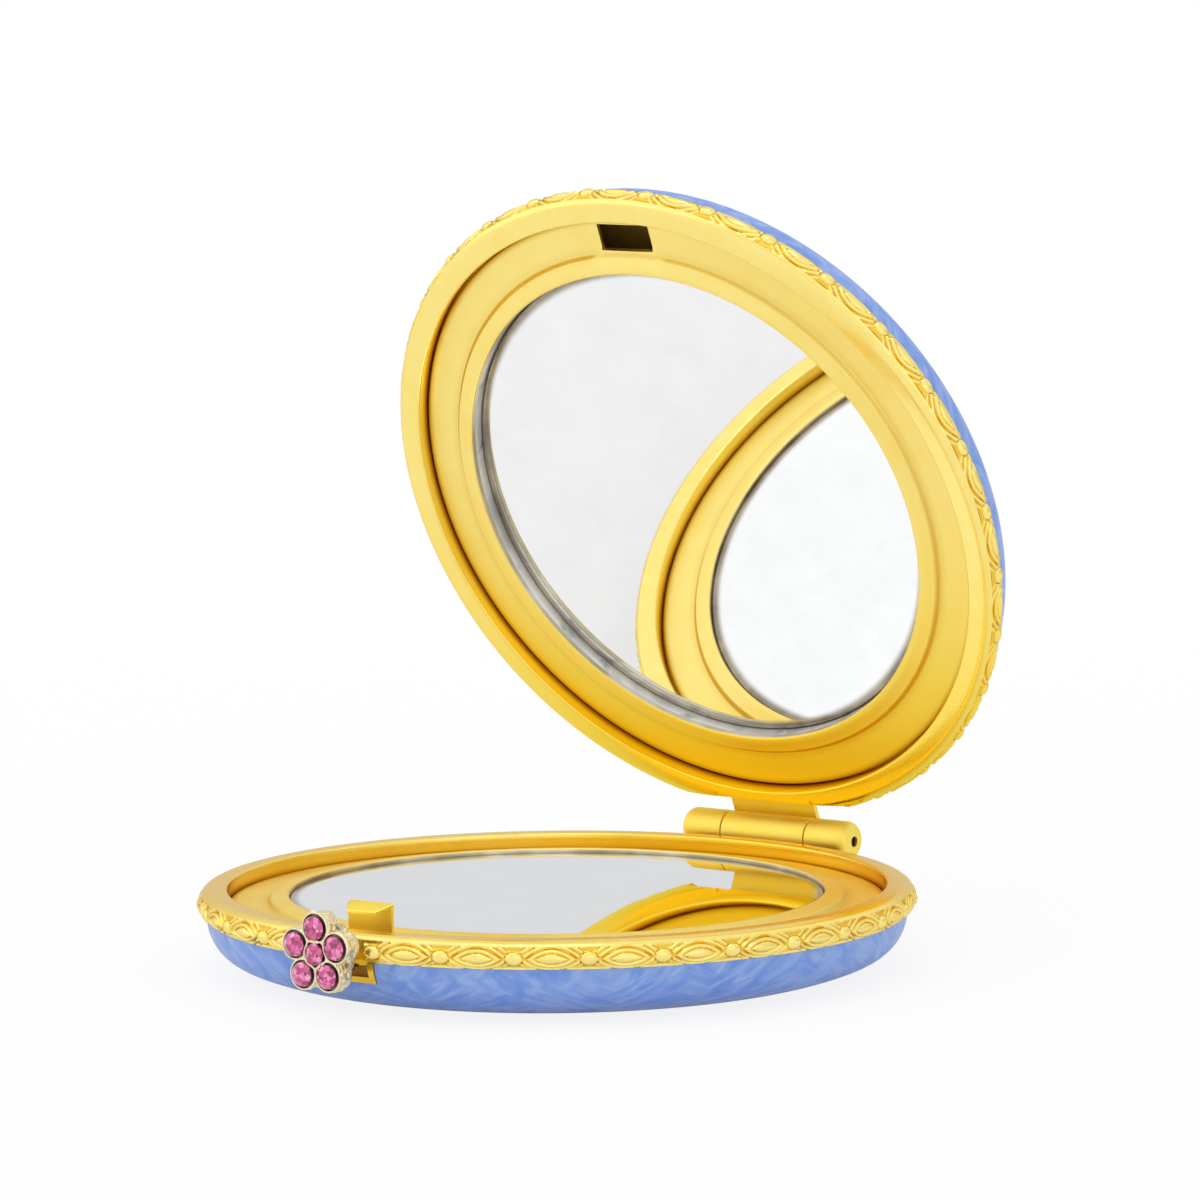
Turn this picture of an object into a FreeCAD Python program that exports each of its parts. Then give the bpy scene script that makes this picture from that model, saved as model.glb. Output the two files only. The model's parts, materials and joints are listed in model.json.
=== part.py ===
import FreeCAD, Part
import math
import os

# Folding mirror compact: two domed halves on a hinge, each with a framed round mirror,
# shut by a sprung hook that a crystal flower button releases.
# Millimetres. Z is up, X runs along the hinge, +Y points to the hinge and the button is at -Y.
# The origin is the middle of the flat foot that the base rests on.

# Case
case_diameter = 70.0
half_height = 8.3
lip_gap = 0.1
lip_width = 1.5
bead_radius = 1.4
bead_height = 2.7
shoulder_radius = 3.6
dome_width = 10.82
foot_height = 0.2
enamel_thickness = 0.4
shell_wall = 0.6
ledge_width = 0.5
skirt_wall = 1.0
skirt_drop = 2.1

# Mirror frame inside each half
recess_depth = 1.5
bezel_sheet = 0.4
floor_width = 4.0
step_width = 0.4
step_rise = 0.6
crown_width = 1.6
crown_rise = 0.25
edge_radius = 0.25
base_mirror_sink = 0.45
lid_mirror_sink = 1.75
mirror_thickness = 1.5
pad_thickness = 1.1
pan_sheet = 0.35
pan_flange = 1.2

# Hinge
open_angle = 67.0
hinge_setback = 2.0
knuckle_diameter = 4.0
pin_diameter = 1.6
pin_recess = 0.4
hinge_width = 20.2
lid_knuckle_width = 10.1
knuckle_gap = 0.1
leaf_sheet = 0.7
leaf_strip = 1.0
notch_depth = 1.2
notch_margin = 0.45

# Latch
push_travel = 0.8
latch_drop = 3.1
hook_setback = 2.35
hook_sheet = 0.4
hook_width = 5.2
hook_tip_width = 3.3
hook_rise = 2.2
hook_reach = 1.45
hook_tip_drop = 0.65
hook_tail = 1.2
catch_width = 6.1
catch_margin = 0.25
slot_margin = 0.35
post_diameter = 1.5
shoulder_diameter = 2.0
rivet_diameter = 1.0
rivet_head_diameter = 1.6
rivet_head_height = 0.4
window_width = 6.0
window_top = 0.6
window_bottom = 4.15
window_depth = 2.0
frame_wall = 0.65
frame_stand = 0.2
spring_sheet = 0.3
spring_width = 1.2
spring_foot = 2.6

# Flower button
flower_standoff = 1.25
flower_thickness = 2.1
flower_drop = 1.6
petal_count = 5
petal_ring_radius = 2.47
petal_stone = 2.3
center_stone = 2.1
cup_wall = 0.35
cup_taper = 0.15
cup_depth = 0.5
cup_clearance = 0.05
seat_ledge = 0.25
stone_hole_depth = 0.8
plate_diameter = 6.6
plate_thickness = 0.9

# Proportions of a cut stone, as shares of its diameter
stone_facets = 10
table_share = 0.58
crown_share = 0.15
girdle_share = 0.05
pavilion_share = 0.36
culet_share = 0.17

# Clearances
running_clearance = 0.05
seat_clearance = 0.03

# Derived places. A half is drawn with its lip at z = 0 and its dome below.
case_radius = case_diameter / 2
wall_radius = case_radius - bead_radius - lip_width
bead_center = wall_radius + lip_width
bead_end = math.degrees(math.asin((bead_radius - bead_height) / bead_radius))
dome_radius = bead_center + bead_radius * math.cos(math.radians(bead_end))
crown_radius = dome_radius - dome_width
dome_depth = half_height - foot_height
dome_rise = dome_depth - bead_height
crown_curve = ((dome_width - shoulder_radius) ** 2 + dome_rise ** 2 - shoulder_radius ** 2) / (
    2 * (dome_rise - shoulder_radius))
ledge_depth = recess_depth + bezel_sheet
ledge_radius = wall_radius - ledge_width
bezel_radius = wall_radius - running_clearance
floor_edge = wall_radius - floor_width
opening_radius = floor_edge - step_width - crown_width
shoulder_depth = recess_depth - step_rise
crown_depth = shoulder_depth - crown_rise
pan_top = shoulder_depth + bezel_sheet
pan_radius = opening_radius + running_clearance
base_mirror_depth = crown_depth + base_mirror_sink
lid_mirror_depth = crown_depth + lid_mirror_sink
mirror_radius = opening_radius - seat_clearance
axis_y = case_radius + hinge_setback
knuckle_radius = knuckle_diameter / 2
notch_y = case_radius - notch_depth
notch_half = hinge_width / 2 + notch_margin
hook_y = -(wall_radius - hook_setback)
hook_back = hook_y + hook_sheet
hook_tip = hook_y - hook_reach
flower_back = -(case_radius + flower_standoff)
flower_face = flower_back - flower_thickness
window_y = -(case_radius - window_depth)
girdle_sink = cup_depth - 2 * seat_ledge * pavilion_share / (1 - culet_share)

up = FreeCAD.Vector(0, 0, 1)
along_x = FreeCAD.Vector(1, 0, 0)
along_y = FreeCAD.Vector(0, 1, 0)


def vec(x, y, z):
    return FreeCAD.Vector(x, y, z)


# Profile edges in the radius and height plane
def line(a, b):
    return Part.LineSegment(vec(a[0], 0, a[1]), vec(b[0], 0, b[1])).toShape()


def on_circle(center, radius, angle):
    a = math.radians(angle)
    return (center[0] + radius * math.cos(a), center[1] + radius * math.sin(a))


def arc(center, radius, start, end):
    points = [on_circle(center, radius, a) for a in (start, (start + end) / 2, end)]
    return Part.Arc(*[vec(p[0], 0, p[1]) for p in points]).toShape()


def polyline(points):
    return [line(a, b) for a, b in zip(points, points[1:])]


def turned(edges):
    face = Part.Face(Part.Wire(edges))
    return face.revolve(vec(0, 0, 0), up, 360)


def block(x0, x1, y0, y1, z0, z1):
    return Part.makeBox(x1 - x0, y1 - y0, z1 - z0, vec(x0, y0, z0))


def prism(points, direction):
    face = Part.Face(Part.makePolygon(points + points[:1]))
    return face.extrude(direction)


def rod_x(radius, x0, x1, y, z):
    return Part.makeCylinder(radius, x1 - x0, vec(x0, y, z), along_x)


def rod_y(radius, y0, y1, x, z):
    return Part.makeCylinder(radius, y1 - y0, vec(x, y0, z), along_y)


# Case half
def dome_solid(inset):
    shoulder_center = (dome_radius - shoulder_radius, -bead_height)
    crown_center = (crown_radius, crown_curve - dome_depth)
    across = shoulder_center[0] - crown_center[0]
    meet = math.degrees(math.atan2(shoulder_center[1] - crown_center[1], across))
    bottom = inset - dome_depth
    start = (dome_radius - inset, -bead_height)
    edges = polyline([(0, bottom), (0, -bead_height), start])
    edges.append(arc(shoulder_center, shoulder_radius - inset, 0, meet))
    edges.append(arc(crown_center, crown_curve - inset, meet, -90))
    edges.append(line((crown_radius, bottom), (0, bottom)))
    return turned(edges)


def enamel_skin():
    return dome_solid(0).cut(dome_solid(enamel_thickness))


def shell_cup():
    return dome_solid(enamel_thickness).cut(dome_solid(enamel_thickness + shell_wall))


def hinge_notch():
    return block(-notch_half, notch_half, notch_y, axis_y, -bead_height, bead_height)


def rim_ring():
    center = (bead_center, -bead_radius)
    skirt_radius = ledge_radius + skirt_wall
    skirt_bottom = -(ledge_depth + skirt_drop)
    edges = [line((wall_radius, 0), (bead_center, 0)), arc(center, bead_radius, 90, bead_end)]
    edges += polyline([(dome_radius, -bead_height), (skirt_radius, -bead_height),
                       (skirt_radius, skirt_bottom), (ledge_radius, skirt_bottom),
                       (ledge_radius, -ledge_depth), (wall_radius, -ledge_depth), (wall_radius, 0)])
    return turned(edges).cut(hinge_notch())


# Mirror frame: a flat floor beside the lip, a step, and a crowned rim with a rolled edge
def bezel_ring():
    step_top = floor_edge - step_width
    roll = (opening_radius + edge_radius, -(crown_depth + edge_radius))
    under_step = step_top - bezel_sheet / 2
    edges = polyline([(bezel_radius, -ledge_depth), (bezel_radius, -recess_depth),
                      (floor_edge, -recess_depth), (step_top, -shoulder_depth), (roll[0], -crown_depth)])
    edges.append(arc(roll, edge_radius, 90, 180))
    edges += polyline([(opening_radius, roll[1]), (opening_radius, -pan_top), (under_step, -pan_top),
                       (under_step + step_width, -ledge_depth), (bezel_radius, -ledge_depth)])
    return turned(edges)


def mirror_pan(mirror_depth):
    outer = pan_radius + pan_sheet
    flange = pan_radius + pan_flange
    pan_floor = mirror_depth + mirror_thickness + pad_thickness
    below = pan_floor + pan_sheet
    flange_under = pan_top + pan_sheet
    return turned(polyline([(0, -pan_floor), (pan_radius, -pan_floor), (pan_radius, -pan_top),
                            (flange, -pan_top), (flange, -flange_under), (outer, -flange_under),
                            (outer, -below), (0, -below), (0, -pan_floor)]))


def mirror_disc(mirror_depth):
    return Part.makeCylinder(mirror_radius, mirror_thickness, vec(0, 0, -mirror_depth - mirror_thickness))


def mirror_pad(mirror_depth):
    bottom = -(mirror_depth + mirror_thickness + pad_thickness)
    return Part.makeCylinder(mirror_radius, pad_thickness, vec(0, 0, bottom))


# Latch openings. The window is narrow in the border and wider below it, where its frame sits.
def window_pocket():
    half = window_width / 2
    wide = half + frame_wall
    bottom = -(window_bottom + frame_wall)
    above = block(-half, half, -2 * case_radius, window_y, -bead_height, -window_top)
    return above.fuse(block(-wide, wide, -2 * case_radius, window_y, bottom, -bead_height))


def post_bore():
    return rod_y(post_diameter / 2 + running_clearance, -case_radius, -wall_radius / 2, 0, -latch_drop)


def hook_slot():
    half = hook_width / 2 + slot_margin
    return block(-half, half, hook_y - slot_margin, hook_back + push_travel + slot_margin, -half_height, 0)


def catch_slot():
    half = catch_width / 2
    far = hook_back + push_travel + slot_margin
    return block(-half, half, hook_tip - catch_margin, far, -half_height, 0)


def foot_disc(clearance):
    return Part.makeCylinder(crown_radius - clearance, foot_height + enamel_thickness,
                             vec(0, 0, -dome_depth - foot_height))


# Hinge, drawn round its own axis at the height of the lips
def knuckle(x0, x1, bore):
    return rod_x(knuckle_radius, x0, x1, axis_y, 0).cut(rod_x(bore, x0, x1, axis_y, 0))


def base_leaf():
    end = hinge_width / 2
    start = lid_knuckle_width / 2 + knuckle_gap
    bore = pin_diameter / 2
    bottom = -knuckle_radius
    leaf = block(-end, end, notch_y, notch_y + leaf_strip, bottom, bottom + leaf_sheet)
    for x0, x1 in ((-end, -start), (start, end)):
        tab = block(x0, x1, notch_y, axis_y, bottom, bottom + leaf_sheet)
        leaf = leaf.fuse(tab.cut(rod_x(bore, x0, x1, axis_y, 0))).fuse(knuckle(x0, x1, bore))
    return leaf.removeSplitter()


def lid_leaf():
    half = lid_knuckle_width / 2
    bore = pin_diameter / 2 + running_clearance
    tab = block(-half, half, notch_y, axis_y, knuckle_radius - leaf_sheet, knuckle_radius)
    return tab.fuse(knuckle(-half, half, bore)).removeSplitter()


def hinge_pin():
    end = hinge_width / 2 - pin_recess
    return rod_x(pin_diameter / 2, -end, end, axis_y, 0)


# Latch pieces, in the base's place with its lip at z = 0
def latch_hook():
    half = hook_width / 2
    tail = -(latch_drop + hook_tail)
    tip_top = hook_rise - hook_tip_drop
    section = [vec(-half, hook_back, tail), vec(-half, hook_back, hook_rise), vec(-half, hook_tip, tip_top),
               vec(-half, hook_tip, tip_top - hook_sheet), vec(-half, hook_y, hook_rise - hook_sheet),
               vec(-half, hook_y, tail)]
    sheet = prism(section, vec(hook_width, 0, 0))
    tip = hook_tip_width / 2
    plan = [vec(-half, hook_back, tail), vec(half, hook_back, tail), vec(half, hook_y, tail),
            vec(tip, hook_tip, tail), vec(-tip, hook_tip, tail), vec(-half, hook_y, tail)]
    sheet = sheet.common(prism(plan, vec(0, 0, hook_rise - tail)))
    return sheet.cut(rod_y(rivet_diameter / 2, hook_y, hook_back, 0, -latch_drop))


def latch_post():
    stop = -(ledge_radius - running_clearance)
    stem = rod_y(post_diameter / 2, flower_back, stop, 0, -latch_drop)
    shoulder = rod_y(shoulder_diameter / 2, stop, hook_y, 0, -latch_drop)
    tenon = rod_y(rivet_diameter / 2, hook_y, hook_back, 0, -latch_drop)
    head = rod_y(rivet_head_diameter / 2, hook_back, hook_back + rivet_head_height, 0, -latch_drop)
    return stem.fuse([shoulder, tenon, head]).removeSplitter()


def latch_frame():
    half = window_width / 2
    wide = half + frame_wall - seat_clearance
    top = -bead_height - seat_clearance
    bottom = seat_clearance - window_bottom - frame_wall
    around = block(-wide, wide, -2 * case_radius, window_y, bottom, top)
    opening = block(-half, half, -2 * case_radius, window_y, -window_bottom, top)
    return around.cut(opening).common(dome_solid(-frame_stand)).removeSplitter()


def latch_spring():
    seat = ledge_radius - seat_clearance
    near = hook_back + seat_clearance
    x_free = rivet_head_diameter / 2 + slot_margin
    z0 = -latch_drop - spring_width / 2
    z1 = z0 + spring_width
    disc = Part.makeCylinder(seat, spring_width, vec(0, 0, z0))
    band = disc.cut(Part.makeCylinder(seat - spring_sheet, spring_width, vec(0, 0, z0)))
    arm = block(x_free, seat, near, near + spring_sheet, z0, z1).common(disc)
    foot = band.common(block(x_free, seat, near, near + spring_foot, z0, z1))
    return arm.fuse(foot).removeSplitter()


# Flower button: petal cups round a middle cup on one back plate, each cup with its cut stone
def cups():
    places = [(0.0, -flower_drop, center_stone)]
    for i in range(petal_count):
        x, z = on_circle((0.0, -flower_drop), petal_ring_radius, 90 + 360 * i / petal_count)
        places.append((x, z, petal_stone))
    return places


def flower_setting():
    setting = rod_y(plate_diameter / 2, flower_back - plate_thickness, flower_back, 0, -flower_drop)
    for x, z, stone in cups():
        radius = stone / 2 + cup_clearance + cup_wall
        cup = Part.makeCone(radius, radius - cup_taper, flower_thickness, vec(x, flower_face, z), along_y)
        setting = setting.fuse(cup)
    seat = flower_face + cup_depth
    for x, z, stone in cups():
        setting = setting.cut(rod_y(stone / 2 + cup_clearance, flower_face, seat, x, z))
        setting = setting.cut(rod_y(stone / 2 - seat_ledge, seat, seat + stone_hole_depth, x, z))
    return setting.removeSplitter()


def facet_ring(radius, y):
    points = []
    for i in range(stone_facets + 1):
        a = 2 * math.pi * (i + 0.5) / stone_facets
        points.append(vec(radius * math.cos(a), y, radius * math.sin(a)))
    return Part.makePolygon(points)


def cut_stone(x, z, diameter):
    radius = diameter / 2
    girdle = flower_face + girdle_sink - seat_clearance
    girdle_top = girdle - diameter * girdle_share
    rings = [facet_ring(radius * table_share, girdle_top - diameter * crown_share),
             facet_ring(radius, girdle_top), facet_ring(radius, girdle),
             facet_ring(radius * culet_share, girdle + diameter * pavilion_share)]
    stone = Part.makeLoft(rings, True, True)
    return stone.translated(vec(x, 0, z))


# Placing: the base stands on its foot, the lid is its mirror image swung open
def in_base(shape):
    return shape.translated(vec(0, 0, half_height))


def in_lid(shape):
    shut = shape.mirror(vec(0, 0, 0), up).translated(vec(0, 0, half_height + lip_gap))
    shut.rotate(vec(0, axis_y, half_height + lip_gap / 2), along_x, -open_angle)
    return shut


def at_axis(shape):
    return shape.translated(vec(0, 0, half_height + lip_gap / 2))


def leaf_in_lid(shape):
    shut = at_axis(shape)
    shut.rotate(vec(0, axis_y, half_height + lip_gap / 2), along_x, -open_angle)
    return shut


base_cup = shell_cup().fuse(foot_disc(seat_clearance)).removeSplitter()
pocket = window_pocket()
stem_bore = post_bore()
nodes = {
    "base_shell": in_base(base_cup.cut(pocket).cut(stem_bore)),
    "base_enamel": in_base(enamel_skin().cut(foot_disc(0)).cut(pocket)),
    "base_rim": in_base(rim_ring().cut(pocket).cut(stem_bore)),
    "base_bezel": in_base(bezel_ring().cut(hook_slot())),
    "base_mirror_pan": in_base(mirror_pan(base_mirror_depth)),
    "base_mirror": in_base(mirror_disc(base_mirror_depth)),
    "base_mirror_pad": in_base(mirror_pad(base_mirror_depth)),
    "hinge_base_leaf": at_axis(base_leaf()),
    "hinge_pin": at_axis(hinge_pin()),
    "latch_frame": in_base(latch_frame()),
    "latch_spring": in_base(latch_spring()),
    "lid_shell": in_lid(shell_cup()),
    "lid_enamel": in_lid(enamel_skin()),
    "lid_rim": in_lid(rim_ring()),
    "lid_bezel": in_lid(bezel_ring().cut(catch_slot())),
    "lid_mirror_pan": in_lid(mirror_pan(lid_mirror_depth)),
    "lid_mirror": in_lid(mirror_disc(lid_mirror_depth)),
    "lid_mirror_pad": in_lid(mirror_pad(lid_mirror_depth)),
    "hinge_lid_leaf": leaf_in_lid(lid_leaf()),
    "latch_hook": in_base(latch_hook()),
    "latch_post": in_base(latch_post()),
    "flower_setting": in_base(flower_setting()),
}
for i, (x, z, diameter) in enumerate(cups()):
    name = "stone_petal_%d" % i if i else "stone_center"
    nodes[name] = in_base(cut_stone(x, z, diameter))

os.makedirs("parts", exist_ok=True)
for name, shape in nodes.items():
    shape.exportStep("parts/%s.step" % name)
    print(name, "solids", len(shape.Solids), "valid", shape.isValid(), "volume %.2f" % shape.Volume)
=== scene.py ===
import bmesh
import bpy
import json
import math
from mathutils import Matrix, Vector, noise


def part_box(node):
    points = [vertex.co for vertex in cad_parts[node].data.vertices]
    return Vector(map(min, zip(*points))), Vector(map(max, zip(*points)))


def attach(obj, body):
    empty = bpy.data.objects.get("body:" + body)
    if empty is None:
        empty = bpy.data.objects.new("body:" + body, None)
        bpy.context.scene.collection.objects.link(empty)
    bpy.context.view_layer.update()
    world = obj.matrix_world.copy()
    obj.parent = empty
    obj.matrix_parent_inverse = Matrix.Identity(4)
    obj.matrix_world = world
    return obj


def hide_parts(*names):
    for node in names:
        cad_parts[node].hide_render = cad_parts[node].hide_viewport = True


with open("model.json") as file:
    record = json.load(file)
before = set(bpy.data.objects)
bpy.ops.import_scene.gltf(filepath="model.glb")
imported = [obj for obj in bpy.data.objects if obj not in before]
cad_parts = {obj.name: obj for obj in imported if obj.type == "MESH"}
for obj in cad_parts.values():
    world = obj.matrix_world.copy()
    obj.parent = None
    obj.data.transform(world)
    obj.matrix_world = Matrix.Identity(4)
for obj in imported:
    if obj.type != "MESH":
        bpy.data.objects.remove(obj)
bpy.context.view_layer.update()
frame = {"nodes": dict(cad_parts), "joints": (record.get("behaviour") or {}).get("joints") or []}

# Folding mirror compact. Pieces are drawn in millimetres and scaled to metres when they are placed.
# A half is drawn with its lip at z = 0 and its dome below, then set in the base or swung into the lid.
MM = 0.001

rim_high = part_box("base_rim")[1]
hinge = next(j for j in frame["joints"] if j["name"] == "lid_hinge")
case_radius = rim_high.x / MM
half_height = rim_high.z / MM
axis_y = hinge["pos_m"][1] / MM
axis_z = hinge["pos_m"][2] / MM
open_angle = math.radians(-hinge["range_deg"][0])
lip_gap = 2 * (axis_z - half_height)

# Case
lip_width = 1.5
lip_round = 0.22
bead_radius = 1.4
bead_height = 2.7
shoulder_radius = 4.5
dome_width = 9.8
base_dome_depth = half_height - 0.03
lid_dome_depth = half_height + 0.2
enamel_thickness = 0.38
wall_radius = case_radius - bead_radius - lip_width
bead_center = wall_radius + lip_width
bead_end = -math.asin((bead_height - bead_radius) / bead_radius)
dome_radius = bead_center + bead_radius * math.cos(bead_end)
foot_inset = 10.82
foot_radius = dome_radius - foot_inset
dome_steps = 288
ledge_depth = 1.9
skirt_inside = 31.6
skirt_outside = 32.6
skirt_bottom = 4.0
notch_y = case_radius - 1.2
lid_notch_y = case_radius - 1.9
lid_notch_half = 9.6

# Embossed border: pointed ovals and round beads, repeated round the half-round of the rim
repeats = 31
border_turn = math.radians(0.5)
border_top = math.radians(43)
border_columns = 60
border_rows = 27
border_height = 0.28
oval_half_length = 2.5
oval_half_height = 1.2
pearl_radius = 0.86
pearl_height = 0.42

# Mirror frame
recess_depth = 1.5
floor_edge = wall_radius - 4.0
step_top = floor_edge - 0.4
opening_radius = step_top - 1.6
step_depth = 0.92
crown_depth = 0.65
roll_radius = 0.25
base_mirror_depth = 1.1
lid_mirror_depth = 2.4
mirror_thickness = 1.5
pad_thickness = 1.1
pan_radius = opening_radius + 0.05
pan_top = 1.3
pan_sheet = 0.35
pan_flange = 1.2
pan_round = 0.3
frame_clearance = 0.04
frame_round = 0.35
frame_steps = 320
pan_steps = 256
mirror_clearance = 0.03
mirror_bevel = 0.15

# Hinge
knuckle_radius = 2.0
pin_radius = 0.8
pin_eye = 0.55
end_round = 1.0
hinge_half = 10.1
lid_knuckle_half = 5.05
knuckle_gap = 0.1
leaf_sheet = 0.7
leaf_strip = 1.0
leaf_tuck = 0.2
leaf_round = 0.14
tab_overlap = 0.3
tab_round = 0.16
knuckle_round = 0.16
lid_bore_gap = 0.05

# Latch
hook_y = -29.75
hook_sheet = 0.4
hook_half = 2.6
hook_tip_half = 1.65
hook_rise = 2.2
hook_reach = 1.45
hook_tip_drop = 0.65
hook_bottom = -4.3
hook_round = 0.09
hook_slot_half = 2.95
hook_slot_front = -30.1
hook_slot_back = -28.2
catch_slot_half = 3.05
catch_slot_front = -31.25
catch_slot_back = -28.45
above_lip = 1.0
window_half = 3.0
window_top = -0.6
window_bottom = -4.15
window_frame = 0.65
window_y = -33.0
flower_drop = 1.6
flower_back = -36.25
flower_face = -38.35
petal_ring = 2.47
petal_stone = 2.3
center_stone = 2.1
cup_gap = 0.17
cup_wall = 0.38
cup_depth = 0.55
cup_lip_drop = 0.1
plate_radius = 3.3
plate_thickness = 0.9
casting_voxel = 0.055
girdle_proud = 0.06

# Places
to_metres = Matrix.Scale(MM, 4)
upside_down = Matrix.Diagonal((1, 1, -1, 1))
in_base = to_metres @ Matrix.Translation((0, 0, half_height))
swing = (Matrix.Translation((0, axis_y, axis_z)) @ Matrix.Rotation(-open_angle, 4, "X")
         @ Matrix.Translation((0, -axis_y, -axis_z)))
in_lid = to_metres @ swing @ Matrix.Translation((0, 0, half_height + lip_gap)) @ upside_down
at_axis = to_metres @ Matrix.Translation((0, axis_y, axis_z))
lid_at_axis = to_metres @ swing @ Matrix.Translation((0, axis_y, axis_z))


# Finishes
class Wire:
    """One output of a finish's nodes. Arithmetic on it adds Math nodes."""

    def __init__(self, finish, socket):
        self.finish = finish
        self.socket = socket

    def __add__(self, other):
        return self.finish.math("ADD", self, other)

    def __radd__(self, other):
        return self.finish.math("ADD", other, self)

    def __sub__(self, other):
        return self.finish.math("SUBTRACT", self, other)

    def __rsub__(self, other):
        return self.finish.math("SUBTRACT", other, self)

    def __mul__(self, other):
        return self.finish.math("MULTIPLY", self, other)

    def __rmul__(self, other):
        return self.finish.math("MULTIPLY", other, self)


class Finish:
    """A node graph of a material or of the world."""

    def __init__(self, owner):
        owner.use_nodes = True
        self.owner = owner
        self.tree = owner.node_tree
        self.tree.nodes.clear()

    def node(self, kind, settings=None, sockets=None, output=0):
        made = self.tree.nodes.new(kind)
        for name, value in (settings or {}).items():
            if name == "stops":
                ramp = made.color_ramp.elements
                while len(ramp) < len(value):
                    ramp.new(0.5)
                for element, (place, colour) in zip(ramp, value):
                    element.position = place
                    element.color = (*colour, 1)
            else:
                setattr(made, name, value)
        for name, value in (sockets or {}).items():
            if isinstance(value, Wire):
                self.tree.links.new(value.socket, made.inputs[name])
            else:
                made.inputs[name].default_value = value
        return Wire(self, made.outputs[output]) if made.outputs else made

    def math(self, operation, first, second):
        return self.node("ShaderNodeMath", {"operation": operation}, {0: first, 1: second})

    def limit(self, value, low, high):
        return self.node("ShaderNodeMapRange", {"interpolation_type": "SMOOTHSTEP"},
                         {"Value": value, "From Min": low, "From Max": high})

    def mix(self, share, first, second):
        first, second = [(*c, 1) if isinstance(c, tuple) else c for c in (first, second)]
        return self.node("ShaderNodeMix", {"data_type": "RGBA"}, {0: share, 6: first, 7: second}, 2)

    def place(self, stretch=(1, 1, 1)):
        where = self.node("ShaderNodeTexCoord", output=3)
        scale = tuple(s / MM for s in stretch)
        return self.node("ShaderNodeMapping", None, {"Vector": where, "Scale": scale})

    def noise(self, where, scale, detail=3.0, roughness=0.5, distortion=0.0):
        return self.node("ShaderNodeTexNoise", None, {"Vector": where, "Scale": scale, "Detail": detail,
                                                      "Roughness": roughness, "Distortion": distortion})

    def attribute(self, name):
        return self.node("ShaderNodeAttribute", {"attribute_name": name}, None, 2)

    def bump(self, height, distance, strength=1.0):
        sockets = {"Height": height, "Distance": distance * MM, "Strength": strength}
        return self.node("ShaderNodeBump", None, sockets)

    def surface(self, **sockets):
        named = {name.replace("_", " ").title().replace("Ior", "IOR"): value
                 for name, value in sockets.items()}
        shader = self.node("ShaderNodeBsdfPrincipled", None, named)
        self.node("ShaderNodeOutputMaterial", None, {"Surface": shader})
        return self.owner


def new_finish(name):
    return Finish(bpy.data.materials.new(name))


gold_edge = (0.96, 0.79, 0.58, 1)
case_plate = (0.97, 0.775, 0.22), (0.99, 0.81, 0.26)
hinge_plate = (1.0, 0.78, 0.12), (1.0, 0.81, 0.17)
latch_plate = (1.0, 0.76, 0.10), (1.0, 0.80, 0.15)


def plating_and_hinge_shade(f, cloud, tones):
    """Plating colour, and on the case a painted shade of deeper gold towards the hinge."""
    colour = f.mix(f.limit(cloud, 0.3, 0.7), *tones)
    if tones != case_plate:
        return colour
    hinge_side_shade = f.node("ShaderNodeSeparateXYZ", None, {0: f.place()}, 1)
    # painted shade: the gold turns deeper and more orange towards the hinge
    return f.mix(f.limit(hinge_side_shade, 21.0, 38.0), colour, (0.94, 0.66, 0.03))


def satin_gold(name, tones, satin=0.33):
    f = new_finish(name)
    where = f.place()
    cloud = f.noise(where, 0.25, 4, 0.55)
    grain = f.noise(where, 9.0, 2, 0.6)
    smear = f.noise(where, 0.2, 2, 0.5)
    recess_shade = f.attribute("tarnish")
    raw = f.attribute("raw")
    # painted shade: dark brown in the crease at the foot of the recess wall and along the step line
    colour = f.mix(recess_shade * (0.8 + 0.2 * grain), plating_and_hinge_shade(f, cloud, tones), (0.60, 0.36, 0.012))
    colour = f.mix(raw, colour, f.mix(f.limit(smear, 0.35, 0.65), (0.50, 0.44, 0.28), (0.74, 0.69, 0.55)))
    return f.surface(base_color=colour, metallic=1.0, roughness=satin + 0.1 * cloud + 0.06 * grain,
                     specular_tint=gold_edge, normal=f.bump(grain, 0.001, 0.4))


def dull_brass():
    f = new_finish("unplated brass")
    cloud = f.noise(f.place(), 0.4, 4, 0.6)
    colour = f.mix(f.limit(cloud, 0.3, 0.7), (0.42, 0.26, 0.05), (0.56, 0.37, 0.09))
    return f.surface(base_color=colour, metallic=0.45, roughness=0.5 + 0.2 * cloud)


def border_gold():
    f = new_finish("bright embossed gold plate")
    where = f.place()
    relief = f.attribute("relief")
    cloud = f.noise(where, 0.4, 4, 0.6)
    grain = f.noise(where, 7.0, 3, 0.6)
    high = f.limit(relief, 0.02, 0.2)
    # painted shade: the low ground and grooves of the relief turn deeper gold
    colour = f.mix(1 - high, plating_and_hinge_shade(f, cloud, case_plate), (0.84, 0.54, 0.06))
    # painted shade: dark brown low on the recess wall
    colour = f.mix(f.attribute("tarnish") * (0.85 + 0.15 * grain), colour, (0.66, 0.40, 0.01))
    return f.surface(base_color=colour, metallic=1.0, roughness=0.19 - 0.04 * high + 0.08 * cloud,
                     specular_tint=gold_edge, normal=f.bump(grain, 0.0005, 0.3))


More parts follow.
